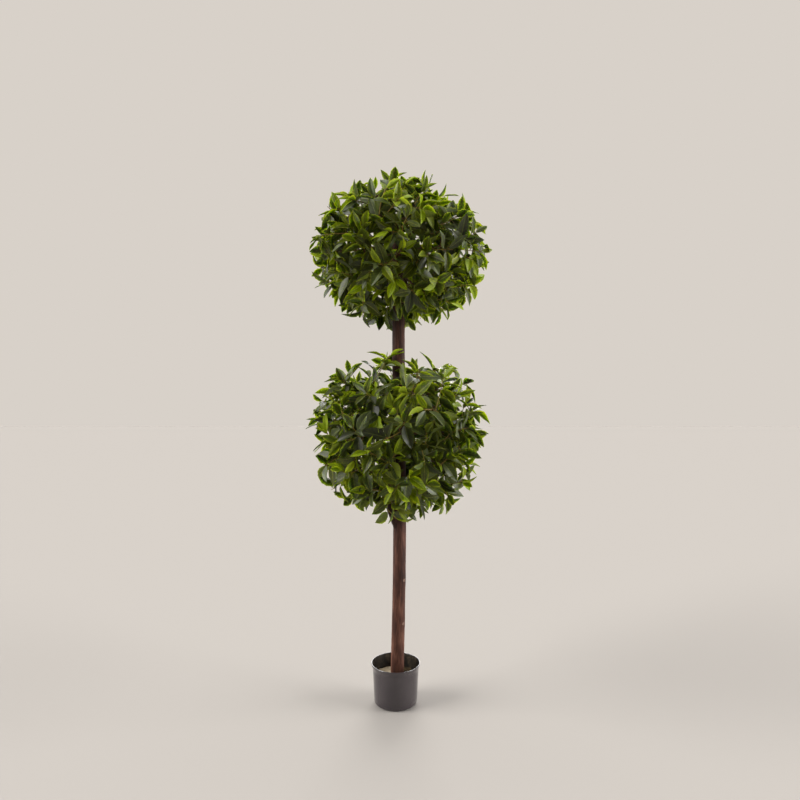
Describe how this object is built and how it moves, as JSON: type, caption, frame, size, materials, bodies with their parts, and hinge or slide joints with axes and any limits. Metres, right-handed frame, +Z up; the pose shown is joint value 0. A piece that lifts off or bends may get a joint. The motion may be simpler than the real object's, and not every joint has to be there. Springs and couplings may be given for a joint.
{
  "type": "ball topiary tree",
  "caption": "Artificial bay topiary with a lower and an upper clipped ball of leaves on a bare trunk, standing in a small round plaster-filled pot",
  "frame": {"origin": "centre of the pot's flat underside, on the floor", "axes": "+Z up along the trunk, front towards -Y, +X to the right as seen from the front"},
  "size_m": [0.5743, 0.5734, 1.659],
  "materials": {
    "pot": "satin black-grey plastic",
    "plaster": "rough set plaster with brown stains",
    "bark": "red-brown bark, fine upright streaks",
    "leaves": "waxy dark green leaves"
  },
  "bodies": {
    "root": {"pot": "pot", "plaster_fill": "plaster", "trunk": "bark", "fork_bough": "bark", "lower_foliage": "leaves", "upper_foliage": "leaves"}
  },
  "joints": []
}
